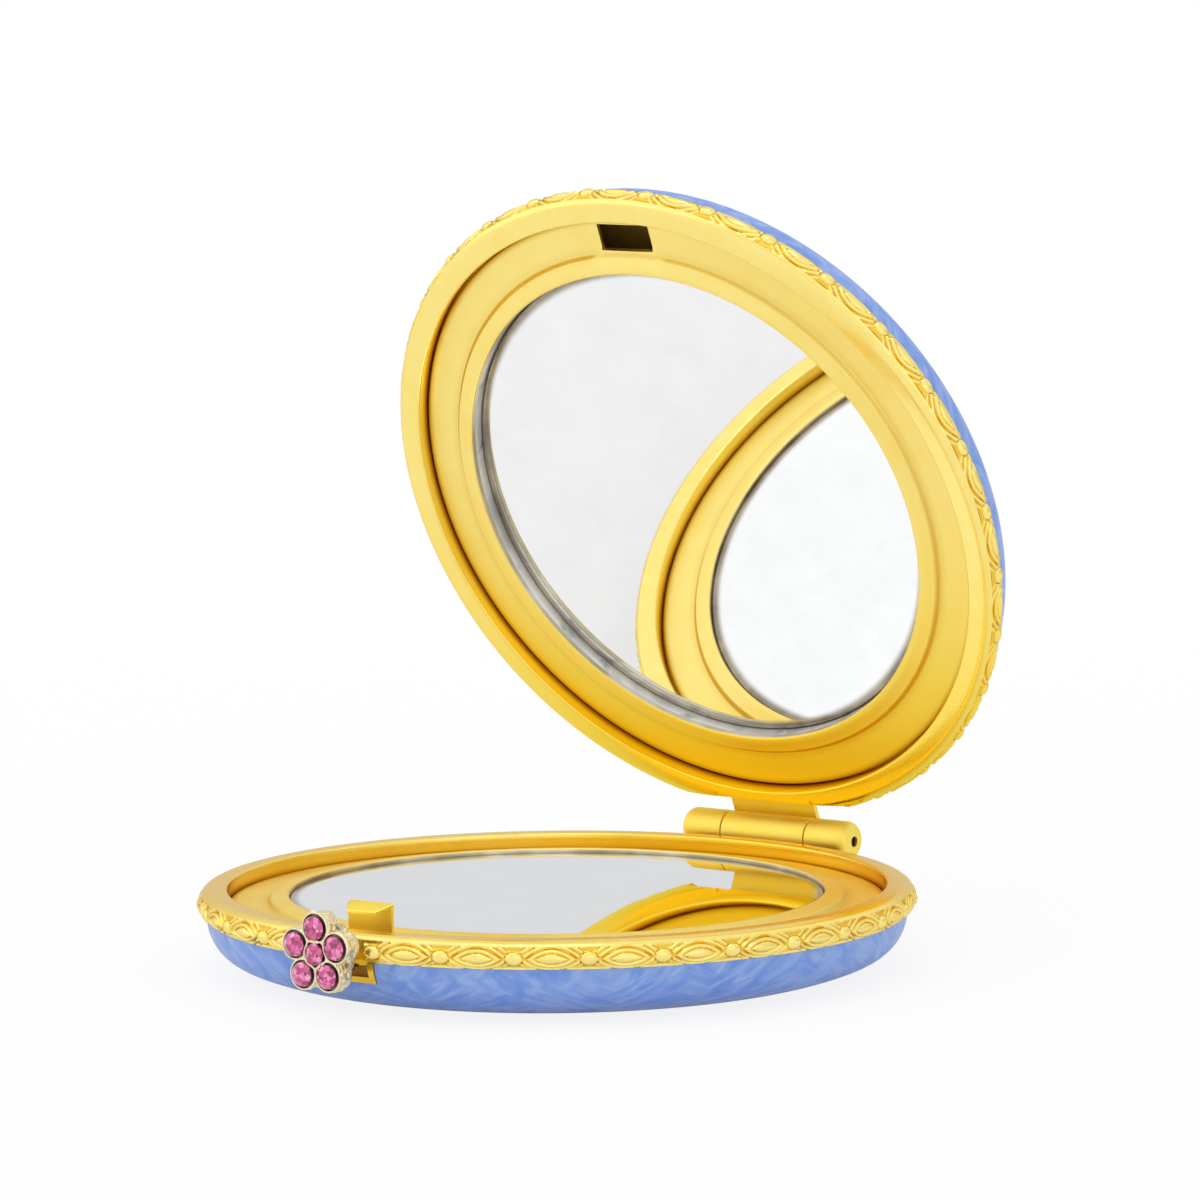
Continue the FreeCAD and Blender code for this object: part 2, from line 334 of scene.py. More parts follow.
def pearl_enamel():
    f = new_finish("pearl blue enamel")
    drawn = f.node("ShaderNodeAttribute", {"attribute_name": "drawn"}, None, 1)
    parts = f.node("ShaderNodeSeparateXYZ", None, {0: drawn})
    x, y, z = (Wire(f, parts.socket.node.outputs[i]) for i in range(3))
    out = f.math("SQRT", x * x + y * y, 0)
    along = f.math("ARCTAN2", x, -1 * y) * case_radius
    down = z * 0.9 + out * 0.9

    def brushed(first, second, lean, seed):
        lengthwise = (first + second * lean) * 0.2
        across = (second - first * lean) * 0.75
        where = f.node("ShaderNodeCombineXYZ", None, {0: lengthwise, 1: across, 2: seed})
        return f.noise(where, 1.0, 4, 0.6, 0.9)

    patch = f.limit(f.noise(drawn, 0.13, 2, 0.5, 0.6), 0.42, 0.58)
    side = brushed(along, down, 0.75, 3.0) * patch + brushed(along, down, -0.6, 8.0) * (1 - patch)
    crown = brushed(x, y, 0.45, 5.0) * patch + brushed(x, y, -0.7, 11.0) * (1 - patch)
    turned = f.limit(out, 22.0, 31.0)
    stroke = side * turned + crown * (1 - turned)
    haze = f.noise(drawn, 0.16, 3, 0.55, 0.8)
    body = f.limit(stroke * 0.65 + haze * 0.35, 0.38, 0.62)
    colour = f.mix(body, (0.175, 0.305, 0.735), (0.30, 0.43, 0.79))
    colour = f.mix(f.limit(stroke, 0.52, 0.72) * 0.3, colour, (0.44, 0.55, 0.84))
    return f.surface(base_color=colour, metallic=0.05 + 0.08 * body, roughness=0.38 - 0.08 * body,
                     coat_weight=0.05, coat_roughness=0.14, coat_ior=1.4, specular_ior_level=0.12,
                     specular_tint=(0.5, 0.62, 0.95, 1), normal=f.bump(stroke * 0.6 + haze * 0.4, 0.01, 0.3))


def mirror_silver():
    f = new_finish("silvered mirror glass")
    film = f.noise(f.place(), 0.2, 5, 0.6)
    specks = f.noise(f.place(), 1.6, 4, 0.7)
    speck = f.limit(specks, 0.70, 0.76)
    colour = f.mix(f.limit(film, 0.3, 0.7), (0.885, 0.89, 0.89), (0.915, 0.92, 0.92))
    colour = f.mix(speck * 0.25, colour, (0.62, 0.63, 0.64))
    # painted reflection and shade: a brown band round the mirror's edge, where the frame's shaded edge would
    # show in the glass
    edge = f.attribute("edge")
    colour = f.mix(edge, colour, f.mix(f.limit(film, 0.35, 0.65), (0.16, 0.12, 0.07), (0.34, 0.28, 0.17)))
    dulled = 0.012 + 0.02 * film + 0.08 * speck + 0.2 * edge
    return f.surface(base_color=colour, metallic=1.0, roughness=dulled)


def tinned_sheet():
    f = new_finish("tinned pan sheet")
    patch = f.noise(f.place(), 0.16, 3, 0.55, 0.6)
    streak = f.noise(f.place(), 0.34, 3, 0.6, 0.4)
    # painted reflections: bright white patches and dark grey streaks
    colour = f.mix(f.limit(patch, 0.34, 0.56), (0.72, 0.74, 0.76), (1.0, 1.0, 0.99))
    colour = f.mix(f.limit(streak, 0.56, 0.70) * 0.6, colour, (0.30, 0.33, 0.38))
    return f.surface(base_color=colour, metallic=0.6, roughness=0.26 + 0.2 * patch,
                     normal=f.bump(streak, 0.02, 0.4))


def cast_white_metal():
    f = new_finish("cast white metal with painted shade")
    where = f.place()
    shade = f.attribute("shade")
    cloud = f.noise(where, 0.9, 5, 0.65)
    pits = f.noise(where, 4.0, 4, 0.7)
    colour = f.mix(f.limit(cloud, 0.3, 0.7), (0.78, 0.65, 0.37), (0.96, 0.87, 0.62))
    colour = f.mix(f.limit(pits, 0.55, 0.75) * 0.6, colour, (0.36, 0.31, 0.22))
    # painted shade inside the stone cups and between them
    colour = f.mix(shade, colour, (0.34, 0.29, 0.25))
    return f.surface(base_color=colour, metallic=1.0, roughness=0.24 + 0.16 * cloud + 0.2 * shade,
                     normal=f.bump(pits + cloud, 0.05, 0.8))


def pink_glass():
    f = new_finish("foiled pink cut glass")
    facet = f.attribute("facet")
    depth = f.noise(f.place(), 1.8, 3, 0.6)
    # the pink is the glass's own colour; lighter and darker facets are painted sparkle
    tone = f.limit(facet * 0.62 + depth * 0.3 + 0.12, 0.05, 1.1)
    colour = f.node("ShaderNodeValToRGB", {"stops": [(0.0, (0.16, 0.008, 0.05)), (0.35, (0.48, 0.03, 0.16)),
                                                     (0.65, (0.74, 0.085, 0.31)), (0.88, (0.90, 0.24, 0.50)),
                                                     (1.0, (1.0, 0.70, 0.84))]}, {"Fac": tone})
    return f.surface(base_color=colour, metallic=0.35, roughness=0.05 + 0.06 * depth, coat_weight=1.0,
                     coat_roughness=0.02, coat_ior=1.6)


def plain_steel():
    f = new_finish("drawn steel")
    where = f.place((0.15, 1, 1))
    draw = f.noise(where, 4.0, 4, 0.6)
    colour = f.mix(f.limit(draw, 0.3, 0.7), (0.07, 0.045, 0.035), (0.14, 0.09, 0.06))
    return f.surface(base_color=colour, metallic=1.0, roughness=0.32 + 0.2 * draw,
                     normal=f.bump(draw, 0.01, 0.5))


def grey_board():
    f = new_finish("grey backing board")
    fibre = f.noise(f.place((0.3, 1, 1)), 3.0, 5, 0.65)
    colour = f.mix(f.limit(fibre, 0.3, 0.7), (0.30, 0.27, 0.23), (0.42, 0.38, 0.33))
    return f.surface(base_color=colour, roughness=0.8 + 0.1 * f.noise(f.place(), 2.0),
                     normal=f.bump(fibre, 0.05, 0.6))


gold = satin_gold("satin gold plate", case_plate)
hinge_gold = satin_gold("hinge gold plate", hinge_plate, 0.44)
latch_gold = satin_gold("latch gold plate", latch_plate)
emboss = border_gold()
enamel = pearl_enamel()
silver = mirror_silver()
tin = tinned_sheet()
cast = cast_white_metal()
glass = pink_glass()
steel = plain_steel()
board = grey_board()
brass = dull_brass()


# Shapes
def arc(center, radius, start, end, count):
    return [(center[0] + radius * math.cos(start + (end - start) * i / count),
             center[1] + radius * math.sin(start + (end - start) * i / count)) for i in range(count + 1)]


def spun(profile, steps, axis="Z", closed=True, angle=2 * math.pi):
    """A ring, a disc whose profile starts and ends on the axis, or part of one, turned from a profile."""
    bm = bmesh.new()
    if axis == "Z":
        verts = [bm.verts.new((r, 0, h)) for r, h in profile]
        turn = (0, 0, 1)
    elif axis == "X":
        verts = [bm.verts.new((h, r, 0)) for r, h in profile]
        turn = (1, 0, 0)
    else:
        verts = [bm.verts.new((r, h, 0)) for r, h in profile]
        turn = (0, 1, 0)
    edges = [bm.edges.new(pair) for pair in zip(verts, verts[1:])]
    if closed:
        edges.append(bm.edges.new((verts[-1], verts[0])))
    whole = angle > 6.28
    bmesh.ops.spin(bm, geom=verts + edges, cent=(0, 0, 0), axis=turn, angle=angle, steps=steps,
                   use_merge=whole)
    bmesh.ops.remove_doubles(bm, verts=bm.verts[:], dist=1e-4)
    if whole:
        bmesh.ops.recalc_face_normals(bm, faces=bm.faces[:])
    return bm


def round_edges(bm, radius):
    bmesh.ops.bevel(bm, geom=bm.edges[:], offset=radius, offset_type="OFFSET", affect="EDGES", segments=3,
                    profile=0.5, material=-1)


def block(low, high, edge_radius=0.0):
    bm = bmesh.new()
    size = Vector(high) - Vector(low)
    middle = (Vector(high) + Vector(low)) / 2
    bmesh.ops.create_cube(bm, size=1.0, matrix=Matrix.Translation(middle) @ Matrix.Diagonal((*size, 1)))
    if edge_radius:
        round_edges(bm, edge_radius)
    return bm


def joined(*parts):
    mesh = bpy.data.meshes.new("joined")
    bm = bmesh.new()
    for part in parts:
        part.to_mesh(mesh)
        part.free()
        bm.from_mesh(mesh)
    bpy.data.meshes.remove(mesh)
    return bm


def to_object(bm):
    mesh = bpy.data.meshes.new("working")
    bm.to_mesh(mesh)
    bm.free()
    thing = bpy.data.objects.new("working", mesh)
    bpy.context.collection.objects.link(thing)
    return thing


def drop(thing):
    mesh = thing.data
    bpy.data.objects.remove(thing)
    bpy.data.meshes.remove(mesh)


def result_of(thing):
    bpy.context.view_layer.update()
    done = bpy.data.meshes.new_from_object(thing.evaluated_get(bpy.context.evaluated_depsgraph_get()))
    bm = bmesh.new()
    bm.from_mesh(done)
    bpy.data.meshes.remove(done)
    return bm


def cut(bm, tool_bm):
    """The shape with the tool's shape taken away."""
    thing = to_object(bm)
    tool = to_object(tool_bm)
    step = thing.modifiers.new("cut", "BOOLEAN")
    step.operation = "DIFFERENCE"
    step.solver = "EXACT"
    step.object = tool
    left = result_of(thing)
    drop(thing)
    drop(tool)
    return left


def cast_together(bm, voxel, passes):
    """One skin over overlapping shapes, softened as a casting is."""
    thing = to_object(bm)
    skin = thing.modifiers.new("skin", "REMESH")
    skin.mode = "VOXEL"
    skin.voxel_size = voxel
    soften = thing.modifiers.new("soften", "SMOOTH")
    soften.factor = 0.5
    soften.iterations = passes
    done = result_of(thing)
    drop(thing)
    return done


def piece(name, bm, place, finish, body, nodes, sharp=35):
    bm.transform(place)
    if place.determinant() < 0:
        bmesh.ops.reverse_faces(bm, faces=bm.faces[:])
    for face in bm.faces:
        face.smooth = True
    mesh = bpy.data.meshes.new(name)
    bm.to_mesh(mesh)
    bm.free()
    mesh.set_sharp_from_angle(angle=math.radians(sharp))
    mesh.materials.append(finish)
    thing = bpy.data.objects.new(name, mesh)
    bpy.context.collection.objects.link(thing)
    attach(thing, body)
    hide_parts(*nodes)


# Rim with its embossed border
def ridge(distance, middle, half):
    t = abs(distance - middle) / half
    return 0.0 if t >= 1 else (1 - t * t) ** 2


def rise(value, low, high):
    t = min(1.0, max(0.0, (value - low) / (high - low)))
    return t * t * (3 - 2 * t)


def border_relief(x, across, period):
    """Height of the border above its ground, at a place along and across it from an oval's middle."""
    steep = 2 * oval_half_height * x / oval_half_length ** 2
    within = (oval_half_height * (1 - (x / oval_half_length) ** 2) - abs(across)) / math.hypot(1, steep)
    to_pearl = math.hypot(period / 2 - abs(x), across)
    bank = rise(within, 0.02, 0.26) - 0.35 * rise(within, 0.36, 0.56)
    lens = 0.48 * rise(within, 0.60, 1.1)
    height = border_height * (bank + lens) - 0.13 * ridge(within, 0.57, 0.13)
    leaves = 0.26 * ridge(-within, 0.27, 0.26) + 0.18 * ridge(-within, 0.76, 0.24)
    height += leaves * rise(to_pearl, pearl_radius + 0.02, pearl_radius + 0.16)
    if to_pearl < pearl_radius:
        height = pearl_height * (1 - (to_pearl / pearl_radius) ** 2) ** 0.5
    return height


def rim_ring():
    start = math.pi / 2
    center = (bead_center, -bead_radius)
    profile = [(skirt_inside, -ledge_depth), (wall_radius, -ledge_depth)]
    profile += [(wall_radius, -depth) for depth in (recess_depth, 1.2, 0.9, 0.6)]
    profile += arc((wall_radius + lip_round, -lip_round), lip_round, math.pi, start, 4)
    profile += [(wall_radius + lip_width * 0.6, 0.0)]
    profile += arc(center, bead_radius, start, border_top, 8)
    profile += arc(center, bead_radius, border_top, bead_end, border_rows)[1:]
    profile += [(skirt_outside, -bead_height), (skirt_outside, -skirt_bottom), (skirt_inside, -skirt_bottom)]
    sector = 2 * math.pi / repeats
    bm = spun(profile, border_columns, angle=sector)
    relief = bm.verts.layers.float.new("relief")
    tarnish = bm.verts.layers.float.new("tarnish")
    period = sector * case_radius
    band_middle = (border_top + bead_end) / 2
    band_half = (border_top - bead_end) / 2 * bead_radius
    for vert in bm.verts:
        x, y, z = vert.co
        radius = math.hypot(x, y)
        reach = math.hypot(radius - bead_center, z + bead_radius)
        if abs(reach - bead_radius) > 0.01 or radius < bead_center - 0.01:
            vert[relief] = border_height
            # painted shade, darker towards the foot of the inner wall
            vert[tarnish] = 0.85 * rise(-z, 0.8, recess_depth) if radius < wall_radius + 0.01 else 0.0
            continue
        tilt = math.atan2(z + bead_radius, radius - bead_center)
        across = (tilt - band_middle) * bead_radius
        height = border_relief(math.atan2(y, x) * case_radius - period / 2, across, period)
        edge = rise(band_half - abs(across), 0.0, 0.14)
        vert[relief] = border_height * (1 - edge) + height * edge
        out = (height - border_height) * edge
        vert.co.x += out * math.cos(tilt) * x / radius
        vert.co.y += out * math.cos(tilt) * y / radius
        vert.co.z += out * math.sin(tilt)
    part = bpy.data.meshes.new("sector")
    bm.to_mesh(part)
    bm.free()
    bm = bmesh.new()
    part.transform(Matrix.Rotation(border_turn - math.pi / 2 - sector / 2, 4, "Z"))
    for i in range(repeats):
        bm.from_mesh(part)
        part.transform(Matrix.Rotation(sector, 4, "Z"))
    bpy.data.meshes.remove(part)
    bmesh.ops.remove_doubles(bm, verts=bm.verts[:], dist=1e-3)
    bmesh.ops.recalc_face_normals(bm, faces=bm.faces[:])
    return bm


def notched(bm, flat_y, half):
    """The rim with its back flattened for the hinge."""
    relief = bm.verts.layers.float["relief"]
    for vert in bm.verts:
        if vert.co.y > flat_y and abs(vert.co.x) < half and vert.co.z > -bead_height - 0.2:
            vert.co.y = flat_y
            vert[relief] = border_height
    return bm


def rim_window():
    return block((-window_half, -2 * case_radius, -bead_height - 0.1), (window_half, window_y, window_top))


def enamel_window():
    wide = window_half + window_frame
    return block((-wide, -2 * case_radius, window_bottom - window_frame), (wide, window_y, -bead_height))


rim = rim_ring()
lid_rim = notched(rim.copy(), lid_notch_y, lid_notch_half)
base_rim = cut(notched(rim, notch_y, case_radius), rim_window())
piece("lid_rim_metal", lid_rim, in_lid, emboss, "lid", ["lid_rim"], 60)
piece("base_rim_metal", base_rim, in_base, emboss, "base", ["base_rim"], 60)


# Enamel domes
def dome_line(depth, inset):
    """Outline of a dome, from the rim round the shoulder to the flat of its foot or crown."""
    wide = dome_width - shoulder_radius
    tall = depth - bead_height
    curve = (wide ** 2 + tall ** 2 - shoulder_radius ** 2) / (2 * (tall - shoulder_radius))
    shoulder = (dome_radius - shoulder_radius, -bead_height)
    crown = (dome_radius - dome_width, curve - depth)
    meet = math.atan2(shoulder[1] - crown[1], shoulder[0] - crown[0])
    line = arc(shoulder, shoulder_radius - inset, 0, meet, 14)
    line += arc(crown, curve - inset, meet, -math.pi / 2, 22)[1:]
    return line + [(foot_radius, inset - depth)]


def remember_drawn(bm):
    """Keeps each point's drawn place for the finish, since the lid is swung open afterwards."""
    drawn = bm.verts.layers.float_vector.new("drawn")
    for vert in bm.verts:
        vert[drawn] = vert.co
    return bm


def base_dome():
    profile = dome_line(base_dome_depth, 0) + dome_line(base_dome_depth, enamel_thickness)[::-1]
    return cut(spun(profile, dome_steps), enamel_window())


def lid_dome():
    flat = [foot_radius * share for share in (0.75, 0.5, 0.25, 0.0)]
    outer = dome_line(lid_dome_depth, 0) + [(r, -lid_dome_depth) for r in flat]
    inner = dome_line(lid_dome_depth, enamel_thickness)
    inner += [(r, enamel_thickness - lid_dome_depth) for r in flat]
    return spun(outer[::-1] + inner, dome_steps, closed=False)


piece("base_enamel_dome", remember_drawn(base_dome()), in_base, enamel, "base", ["base_enamel"])
piece("lid_enamel_dome", remember_drawn(lid_dome()), in_lid, enamel, "lid", ["lid_enamel"])


# Mirror frames, pans and mirrors
def frame_ring():
    outer = wall_radius - frame_clearance
    soft = frame_round
    ramp_start = floor_edge + 0.22
    ramp_end = step_top + 0.05
    profile = [(outer, -ledge_depth), (outer, -recess_depth - soft)]
    profile += arc((outer - soft, -recess_depth - soft), soft, 0, math.pi / 2, 6)[1:]
    profile += [(outer - inset, -recess_depth) for inset in (0.5, 0.65, 0.85, 1.2, 2.0)]
    profile += [(floor_edge + 1.0, -recess_depth)]
    count = 14
    for i in range(count + 1):
        share = i / count
        profile.append((ramp_start + (ramp_end - ramp_start) * share,
                        -recess_depth + (recess_depth - step_depth) * share * share * (3 - 2 * share)))
    profile += [(step_top - 0.35, -step_depth + 0.04), (opening_radius + 0.8, -crown_depth - 0.05)]
    roll = (opening_radius + roll_radius, -crown_depth - roll_radius)
    profile += arc(roll, roll_radius, math.pi * 0.5, math.pi, 8)
    profile += [(opening_radius, -pan_top), (step_top - 0.2, -pan_top), (floor_edge - 0.2, -ledge_depth)]
    bm = spun(profile, frame_steps)
    tarnish = bm.verts.layers.float.new("tarnish")
    raw = bm.verts.layers.float.new("raw")
    for vert in bm.verts:
        radius = math.hypot(vert.co.x, vert.co.y)
        # painted shade in the crease against the rim's wall and along the step line
        vert[tarnish] = max(rise(radius, outer - 0.85, outer - 0.1), 0.42 * ridge(radius, floor_edge, 0.4))
        if radius < opening_radius + 0.03:
            vert[raw] = 1.0
    return bm


def without_step(bm):
    """The lid's frame runs smooth below its catch slot."""
    high = opening_radius + 0.8
    low = floor_edge + 0.8
    for vert in bm.verts:
        radius = math.hypot(vert.co.x, vert.co.y)
        if vert.co.y < 0 and high < radius < low and vert.co.z > -recess_depth - 0.01:
            ramp = -recess_depth + (recess_depth - crown_depth - 0.05) * (low - radius) / (low - high)
            vert.co.z += (ramp - vert.co.z) * (1 - rise(abs(vert.co.x), 3.3, 4.3))
    return bm


def hook_slot_tool():
    return block((-hook_slot_half, hook_slot_front, -half_height),
                 (hook_slot_half, hook_slot_back, above_lip))


def catch_slot_tool():
    return block((-catch_slot_half, catch_slot_front, -half_height),
                 (catch_slot_half, catch_slot_back, above_lip))


def pan_cup(mirror_depth):
    outer = pan_radius + pan_sheet
    flange = pan_radius + pan_flange
    pan_floor = mirror_depth + mirror_thickness + pad_thickness
    below = pan_floor + pan_sheet
    profile = [(0, -pan_floor), (pan_radius - pan_round, -pan_floor), (pan_radius, -pan_floor + pan_round)]
    profile += [(pan_radius, -2.0), (pan_radius, -pan_top), (flange, -pan_top)]
    profile += [(flange, -pan_top - pan_sheet), (outer, -pan_top - pan_sheet), (outer, -below), (0, -below)]
    return spun(profile, pan_steps, closed=False)


def mirror_plate(mirror_depth):
    radius = opening_radius - mirror_clearance
    back = mirror_depth + mirror_thickness
    profile = [(0, -mirror_depth), (radius * 0.5, -mirror_depth)]
    profile += [(radius - inset, -mirror_depth) for inset in (1.3, 1.1, 0.9, 0.7, 0.5, 0.3, mirror_bevel)]
    profile += [(radius, -mirror_depth - mirror_bevel), (radius, -back + 0.1), (radius - 0.1, -back)]
    profile += [(0, -back)]
    bm = spun(profile, pan_steps, closed=False)
    # mask of the painted brown band round the mirror's edge
    edge = bm.verts.layers.float.new("edge")
    for vert in bm.verts:
        vert[edge] = 0.9 * rise(math.hypot(vert.co.x, vert.co.y), radius - 1.2, radius - 0.4)
    return bm


bezel = frame_ring()
lid_frame = cut(without_step(bezel.copy()), catch_slot_tool())
base_frame = cut(bezel, hook_slot_tool())
piece("lid_mirror_frame", lid_frame, in_lid, gold, "lid", ["lid_bezel"], 40)
piece("base_mirror_frame", base_frame, in_base, gold, "base", ["base_bezel"], 40)
piece("base_pan", pan_cup(base_mirror_depth), in_base, tin, "base", ["base_mirror_pan"])
piece("lid_pan", pan_cup(lid_mirror_depth), in_lid, tin, "lid", ["lid_mirror_pan"])
piece("base_mirror_glass", mirror_plate(base_mirror_depth), in_base, silver, "base",
      ["base_mirror"])
piece("lid_mirror_glass", mirror_plate(lid_mirror_depth), in_lid, silver, "lid", ["lid_mirror"])


# Hinge
def knuckle_mouth(x, inward, bore, soft):
    """Bore's end: closed down to a small eye at the hinge's rounded ends, plainly chamfered elsewhere."""
    if soft == end_round:
        return [(bore, x + inward * 0.3), (pin_eye, x + inward * 0.25), (pin_eye, x)]
    return [(bore, x + inward * 0.1), (bore + 0.1, x)]


def knuckle(x0, x1, bore, soft0, soft1):
    profile = knuckle_mouth(x0, 1, bore, soft0)
    profile += arc((knuckle_radius - soft0, x0 + soft0), soft0, -math.pi / 2, 0, 6)
    profile += arc((knuckle_radius - soft1, x1 - soft1), soft1, 0, math.pi / 2, 6)
    profile += knuckle_mouth(x1, -1, bore, soft1)[::-1]
    return spun(profile, 64, "X")


def base_leaf():
    shapes = []
    near = notch_y - axis_y
    gap = lid_knuckle_half + knuckle_gap
    for x0, x1 in ((-hinge_half, -gap), (gap, hinge_half)):
        ends = (end_round, knuckle_round) if x0 < 0 else (knuckle_round, end_round)
        shapes.append(knuckle(x0, x1, pin_radius, *ends))
        shapes.append(block((x0, near, -knuckle_radius), (x1, -leaf_tuck, -knuckle_radius + leaf_sheet),
                            leaf_round))
    shapes.append(block((-hinge_half, near, -knuckle_radius),
                        (hinge_half, near + leaf_strip, -knuckle_radius + leaf_sheet), leaf_round))
    return joined(*shapes)


def lid_leaf():
    half = lid_knuckle_half
    near = lid_notch_y - tab_overlap - axis_y
    tab = block((-half, near, knuckle_radius - leaf_sheet), (half, -leaf_tuck, knuckle_radius), tab_round)
    return joined(knuckle(-half, half, pin_radius + lid_bore_gap, knuckle_round, knuckle_round), tab)


piece("hinge_base_knuckles", base_leaf(), at_axis, hinge_gold, "base", ["hinge_base_leaf"])
piece("hinge_lid_knuckle", lid_leaf(), lid_at_axis, hinge_gold, "lid", ["hinge_lid_leaf"])


# Latch hook: a folded sheet with a tapered tongue
def hook_plate():
    bm = bmesh.new()
    back = hook_y + hook_sheet
    tip = hook_y - hook_reach
    tip_top = hook_rise - hook_tip_drop
    section = [(back, hook_bottom), (back, hook_rise), (tip, tip_top), (tip, tip_top - hook_sheet),
               (hook_y, hook_rise - hook_sheet), (hook_y, hook_bottom)]
    face = bm.faces.new([bm.verts.new((-hook_half, y, z)) for y, z in section])
    grown = bmesh.ops.extrude_face_region(bm, geom=[face])["geom"]
    moved = [part for part in grown if isinstance(part, bmesh.types.BMVert)]
    bmesh.ops.translate(bm, verts=moved, vec=(2 * hook_half, 0, 0))
    for vert in bm.verts:
        if vert.co.y < tip + 1e-4:
            vert.co.x *= hook_tip_half / hook_half
    bmesh.ops.recalc_face_normals(bm, faces=bm.faces[:])
    round_edges(bm, hook_round)
    return bm


piece("latch_hook_sheet", hook_plate(), in_base, latch_gold, "latch", ["latch_hook"])


# Flower button
def cup_places():
    places = [(0.0, -flower_drop, center_stone)]
    for i in range(5):
        a = math.radians(90 + 72 * i)
        places.append((petal_ring * math.cos(a), petal_ring * math.sin(a) - flower_drop, petal_stone))
    return places


def stone_cup(x, z, stone):
    bore = stone / 2 + cup_gap
    outer = stone / 2 + cup_wall
    half = (outer - bore) / 2
    lip = flower_face + cup_lip_drop + half
    profile = [(0, flower_face + cup_depth), (bore, flower_face + cup_depth), (bore, lip)]
    profile += arc((bore + half, lip), half, math.pi, 2 * math.pi, 8)[1:-1]
    profile += [(outer, lip), (outer - 0.1, flower_back), (0, flower_back)]
    bm = spun(profile, 48, "Y", closed=False)
    bmesh.ops.translate(bm, verts=bm.verts[:], vec=(x, 0, z))
    return bm


def flower():
    shapes = [stone_cup(*place) for place in cup_places()]
    plate = spun([(0, flower_back - plate_thickness), (plate_radius, flower_back - plate_thickness),
                  (plate_radius, flower_back), (0, flower_back)], 48, "Y", closed=False)
    bmesh.ops.translate(plate, verts=plate.verts[:], vec=(0, 0, -flower_drop))
    bm = cast_together(joined(plate, *shapes), casting_voxel, 2)
    shade = bm.verts.layers.float.new("shade")
    places = cup_places()
    for vert in bm.verts:
        co = vert.co
        near = min(math.hypot(co.x - x, co.z - z) - s / 2 for x, z, s in places)
        sunk = co.y - flower_face
        # painted shade inside the stone cups and in the crevices between them
        in_cup = rise(cup_gap + 0.06 - near, 0.0, 0.08) * rise(sunk, 0.13, 0.24) * rise(1.1 - sunk, 0.0, 0.4)
        crevice = rise(near, cup_wall + 0.02, cup_wall + 0.14) * rise(sunk, 0.15, 0.5) * (
            1 - rise(math.hypot(co.x, co.z + flower_drop), 3.1, 3.5))
        vert[shade] = min(1.0, 0.92 * in_cup + 0.8 * crevice)
        if near > cup_wall * 0.8 and sunk > 0.25:
            rough = noise.noise(co * 1.3) * 0.22 + noise.noise(co * 3.5) * 0.11
            vert.co += vert.normal * rough
    return bm


piece("flower_casting", flower(), in_base, cast, "latch", ["flower_setting"], 60)


# Cut stones: table, star and kite facets above the girdle, long facets below
def ring_of(bm, count, turn, radius, height):
    made = bmesh.ops.create_circle(bm, cap_ends=False, segments=count, radius=radius)["verts"]
    place = Matrix.Translation((0, 0, height)) @ Matrix.Rotation(turn, 4, "Z")
    bmesh.ops.transform(bm, verts=made, matrix=place)


def cut_stone(x, z, diameter, turn):
    bm = bmesh.new()
    r = diameter / 2
    step = math.pi / 8
    crown = diameter * 0.15
    ring_of(bm, 8, 0, r * 0.56, crown)
    ring_of(bm, 8, step, r * 0.80, crown * 0.60)
    ring_of(bm, 16, 0, r, 0.0)
    ring_of(bm, 16, 0, r, -diameter * 0.05)
    ring_of(bm, 8, 0, r * 0.17, -diameter * 0.38)
    bmesh.ops.convex_hull(bm, input=bm.verts[:])
    bmesh.ops.delete(bm, geom=[e for e in bm.edges if not e.link_faces], context="EDGES")
    bmesh.ops.dissolve_limit(bm, angle_limit=math.radians(2), verts=bm.verts[:], edges=bm.edges[:])
    table = max(bm.faces, key=lambda face: face.calc_center_median().z)
    bmesh.ops.inset_individual(bm, faces=[table], thickness=r * 0.22)
    bmesh.ops.poke(bm, faces=[table])
    bmesh.ops.recalc_face_normals(bm, faces=bm.faces[:])
    # painted sparkle: each facet gets its own tone, the lower facets a dark one
    facet = bm.faces.layers.float.new("facet")
    for face in bm.faces:
        at = face.calc_center_median()
        sector = math.floor(math.degrees(math.atan2(at.y, at.x)) / 22.5 + 40)
        tone = (sector * 7 + round(math.hypot(at.x, at.y) / r * 10) * 5 + round(turn * 3)) % 11 / 10
        face[facet] = tone if face.normal.z > 0.05 else 0.1
    seat = Matrix.Translation((x, flower_face - girdle_proud, z))
    bm.transform(seat @ Matrix.Rotation(math.pi / 2, 4, "X") @ Matrix.Rotation(turn, 4, "Z"))
    return bm


for i, (x, z, diameter) in enumerate(cup_places()):
    node = "stone_petal_%d" % i if i else "stone_center"
    stone = cut_stone(x, z, diameter, 0.35 + 0.61 * i)
    piece(node + "_cut", stone, in_base, glass, "latch", [node], 1)


# Pieces that keep their plain solids
plain = {"base_shell": brass, "lid_shell": brass, "latch_frame": emboss, "latch_post": gold,
         "hinge_pin": steel, "latch_spring": steel, "base_mirror_pad": board, "lid_mirror_pad": board}
for node, finish in plain.items():
    solid = frame["nodes"][node]
    solid.data.materials.clear()
    solid.data.materials.append(finish)


